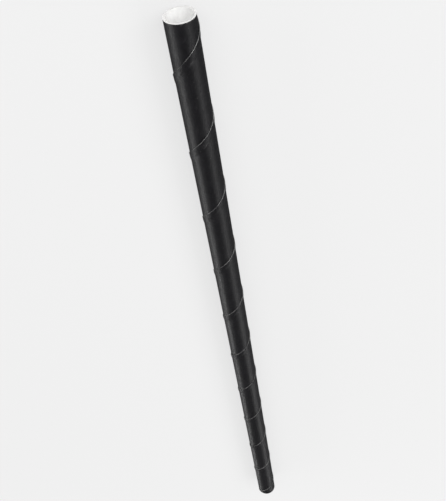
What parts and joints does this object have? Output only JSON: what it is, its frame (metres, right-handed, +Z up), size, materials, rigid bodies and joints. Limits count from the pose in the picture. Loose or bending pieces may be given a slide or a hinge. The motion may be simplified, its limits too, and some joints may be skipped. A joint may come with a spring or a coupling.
{
  "type": "paper drinking straw",
  "caption": "Spiral-wound black paper drinking straw with a white lining and a low lapped seam, cut square and open from end to end.",
  "frame": {"origin": "on the surface the straw lies on, under the middle of its length", "axes": "+X along the straw's axis towards the mouth that the picture shows, +Z up, the seam climbing towards +X as a right-handed helix"},
  "size_m": [0.197, 0.0064, 0.0064],
  "materials": {
    "black_paper": "matte black printed paper with white cut edges",
    "white_paper": "uncoated white paper"
  },
  "bodies": {
    "root": {"outer_strip": "black_paper", "lining": "white_paper"}
  },
  "joints": []
}
